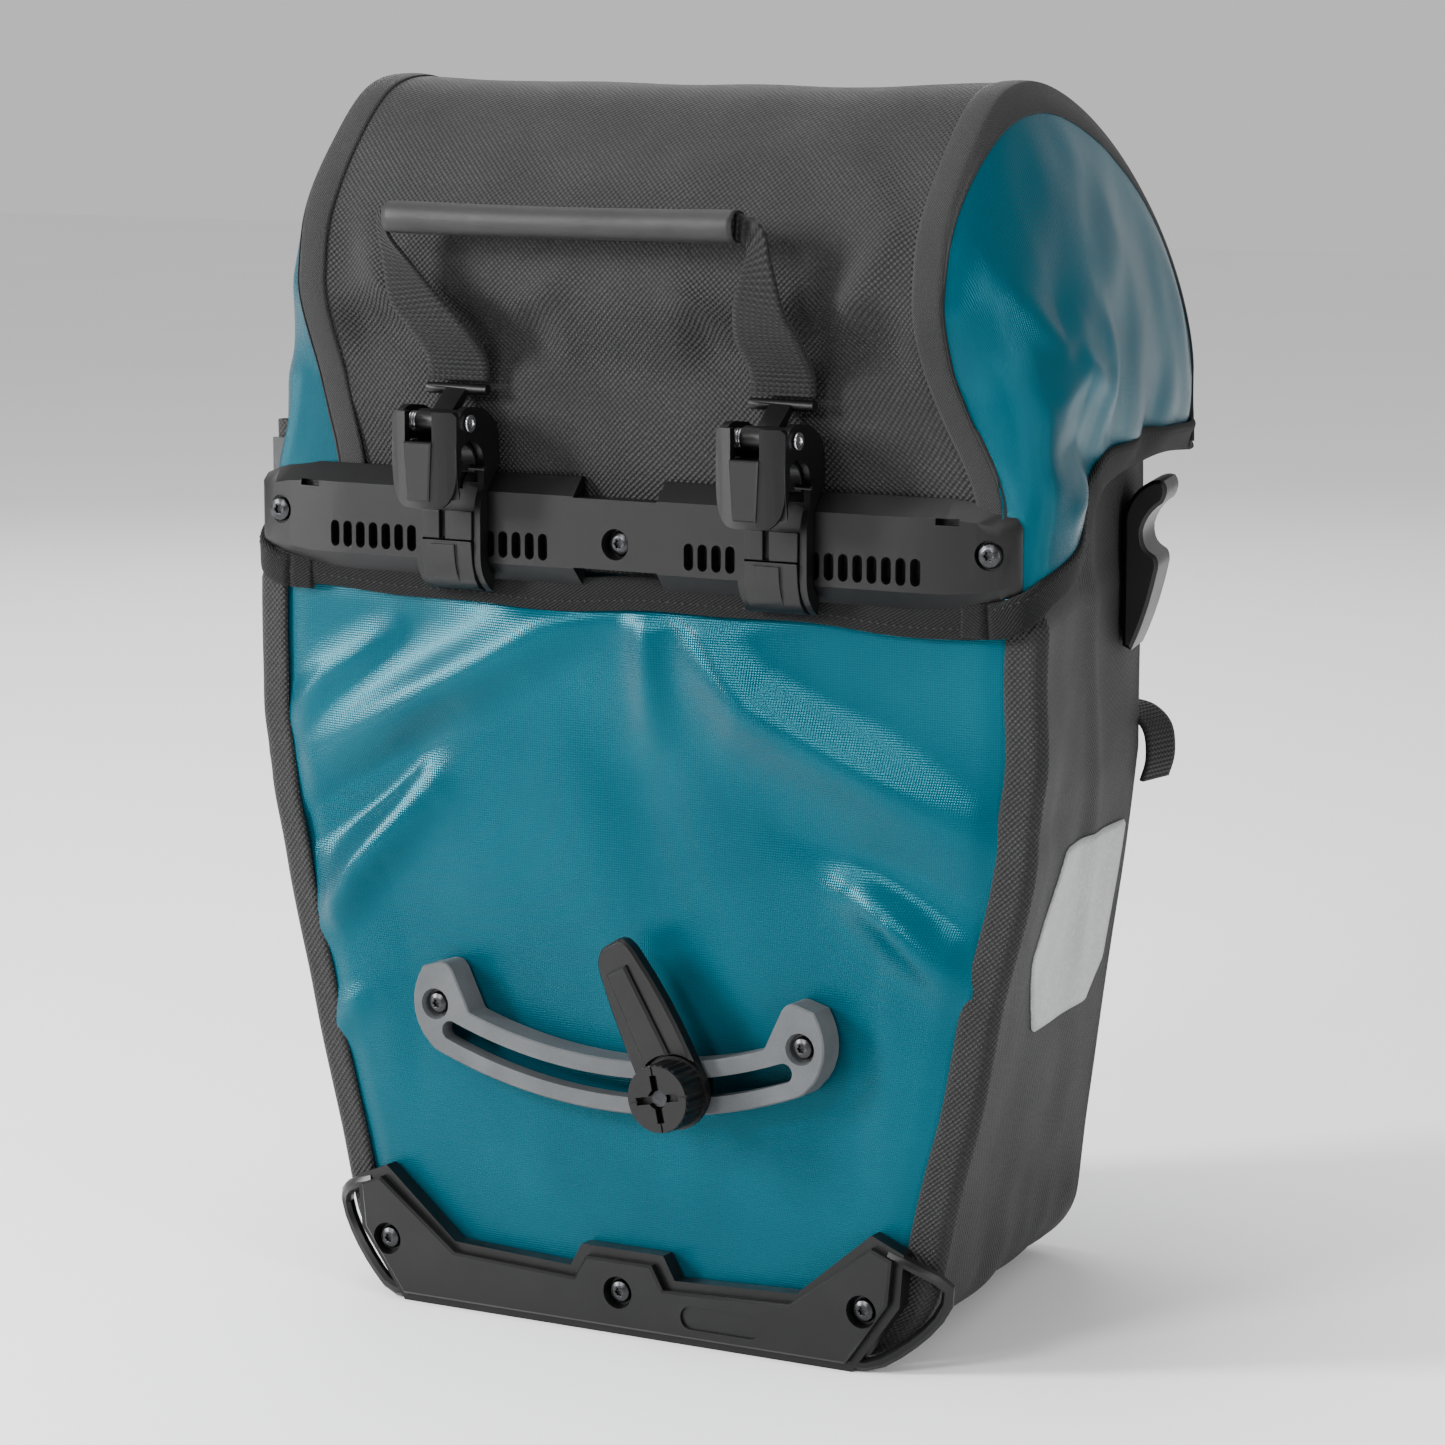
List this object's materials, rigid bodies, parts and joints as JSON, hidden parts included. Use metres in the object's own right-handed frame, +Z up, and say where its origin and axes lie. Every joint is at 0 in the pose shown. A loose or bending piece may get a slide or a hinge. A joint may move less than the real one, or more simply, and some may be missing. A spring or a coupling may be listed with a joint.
{
  "type": "pannier bag",
  "caption": "Top-lid bicycle pannier with a screwed-on hook rail, handle that opens the hooks, curved lower track with a turning fin, and a bottom guard.",
  "frame": {"origin": "centre of the underside, on the floor", "axes": "+Z up, +X along the rail, -Y out of the side that faces the rack"},
  "size_m": [0.3152, 0.2127, 0.419],
  "materials": {
    "coated_cloth": "glossy coated cloth, embossed weave",
    "woven_cloth": "coarse plain weave, matt",
    "tape": "ribbed webbing",
    "board": "plain sheet",
    "black_plastic": "moulded, fine grain",
    "grey_plastic": "moulded, satin",
    "steel": "bright",
    "dark_screw": "black, glossy",
    "grip_rubber": "smooth, matt",
    "reflective": "retro-reflective patch"
  },
  "bodies": {
    "root": {"back_panel": "coated_cloth", "front_panel": "coated_cloth", "side_gusset_left": "woven_cloth", "side_gusset_right": "woven_cloth", "bottom_panel": "woven_cloth", "back_stiffener": "board", "rail_backing_strip": "board", "lid_back_flap": "woven_cloth", "flap_binding": "tape", "rail": "black_plastic", "arc_track": "grey_plastic", "bottom_guard": "black_plastic", "rail_screw_left": "dark_screw", "rail_screw_centre": "dark_screw", "rail_screw_right": "dark_screw", "guard_screw_left": "dark_screw", "guard_screw_centre": "dark_screw", "guard_screw_right": "dark_screw", "track_screw_left": "dark_screw", "side_hook_left": "black_plastic", "reflector_left": "reflective", "front_strap_left": "tape", "buckle_socket_left": "black_plastic", "track_screw_right": "dark_screw", "side_hook_right": "black_plastic", "reflector_right": "reflective", "front_strap_right": "tape", "buckle_socket_right": "black_plastic"},
    "lid": {"lid_cover": "woven_cloth", "lid_side_left": "coated_cloth", "lid_side_right": "coated_cloth", "lid_binding_front": "tape", "lid_binding_left": "tape", "lid_binding_right": "tape", "lid_strap_left": "tape", "lid_strap_right": "tape", "buckle_plug_left": "black_plastic", "buckle_plug_right": "black_plastic"},
    "handle": {"handle_grip": "grip_rubber", "handle_strap_left": "tape", "handle_strap_right": "tape"},
    "carriage": {"carriage_bolt": "steel"},
    "fin": {"fin": "black_plastic"},
    "knob": {"knob": "black_plastic"},
    "strap_end_left": {"strap_end_left": "tape"},
    "hook_left": {"hook_body_left": "black_plastic", "hook_pin_left": "steel", "catch_spring_left": "steel", "reducer_insert_left": "black_plastic"},
    "catch_left": {"hook_catch_left": "black_plastic"},
    "jaw_left": {"clamp_jaw_left": "black_plastic"},
    "lock_left": {"clamp_lock_left": "black_plastic"},
    "strap_end_right": {"strap_end_right": "tape"},
    "hook_right": {"hook_body_right": "black_plastic", "hook_pin_right": "steel", "catch_spring_right": "steel", "reducer_insert_right": "black_plastic"},
    "catch_right": {"hook_catch_right": "black_plastic"},
    "jaw_right": {"clamp_jaw_right": "black_plastic"},
    "lock_right": {"clamp_lock_right": "black_plastic"}
  },
  "joints": [
    {"name": "lid_open", "type": "hinge", "parent": "root", "child": "lid", "pos_m": [0, -0.094, 0.317], "axis": [1, 0, 0], "range_deg": [0, 95]},
    {"name": "handle_lift", "type": "slide", "parent": "lid", "child": "handle", "axis": [0, 0, 1], "range_m": [0, 0.006]},
    {"name": "hook_left_slide", "type": "slide", "parent": "root", "child": "hook_left", "axis": [1, 0, 0], "range_m": [-0.026, 0.0156]},
    {"name": "strap_end_left_shift", "type": "slide", "parent": "handle", "child": "strap_end_left", "axis": [1, 0, 0], "range_m": [-0.026, 0.0156]},
    {"name": "catch_left_turn", "type": "hinge", "parent": "hook_left", "child": "catch_left", "pos_m": [-0.062, -0.1076, 0.307], "axis": [1, 0, 0], "range_deg": [0, 16], "stiffness_Nm_per_rad": 0.01},
    {"name": "jaw_left_open", "type": "hinge", "parent": "hook_left", "child": "jaw_left", "pos_m": [-0.062, -0.1006, 0.2662], "axis": [1, 0, 0], "range_deg": [-25, 0]},
    {"name": "lock_left_slide", "type": "slide", "parent": "hook_left", "child": "lock_left", "axis": [0, 0, 1], "range_m": [0, 0.003]},
    {"name": "hook_right_slide", "type": "slide", "parent": "root", "child": "hook_right", "axis": [1, 0, 0], "range_m": [-0.0156, 0.026]},
    {"name": "strap_end_right_shift", "type": "slide", "parent": "handle", "child": "strap_end_right", "axis": [1, 0, 0], "range_m": [-0.0156, 0.026]},
    {"name": "catch_right_turn", "type": "hinge", "parent": "hook_right", "child": "catch_right", "pos_m": [0.062, -0.1076, 0.307], "axis": [1, 0, 0], "range_deg": [0, 16], "stiffness_Nm_per_rad": 0.01},
    {"name": "jaw_right_open", "type": "hinge", "parent": "hook_right", "child": "jaw_right", "pos_m": [0.062, -0.1006, 0.2662], "axis": [1, 0, 0], "range_deg": [-25, 0]},
    {"name": "lock_right_slide", "type": "slide", "parent": "hook_right", "child": "lock_right", "axis": [0, 0, 1], "range_m": [0, 0.003]},
    {"name": "carriage_swing", "type": "hinge", "parent": "root", "child": "carriage", "pos_m": [0, -0.095, 0.273], "axis": [0, 1, 0], "range_deg": [-11, 27.5]},
    {"name": "fin_turn", "type": "hinge", "parent": "carriage", "child": "fin", "pos_m": [0.02701, -0.1, 0.08897], "axis": [0, 1, 0], "continuous": true},
    {"name": "knob_turn", "type": "hinge", "parent": "carriage", "child": "knob", "pos_m": [0.02701, -0.11, 0.08897], "axis": [0, 1, 0], "continuous": true}
  ],
  "couplings": [
    {"joint": "strap_end_left_shift", "follows": "hook_left_slide", "ratio": 1},
    {"joint": "catch_left_turn", "follows": "handle_lift", "rad_per_m": 46.5},
    {"joint": "lock_left_slide", "follows": "jaw_left_open", "m_per_rad": -0.006875},
    {"joint": "strap_end_right_shift", "follows": "hook_right_slide", "ratio": 1},
    {"joint": "catch_right_turn", "follows": "handle_lift", "rad_per_m": 46.5},
    {"joint": "lock_right_slide", "follows": "jaw_right_open", "m_per_rad": -0.006875}
  ]
}
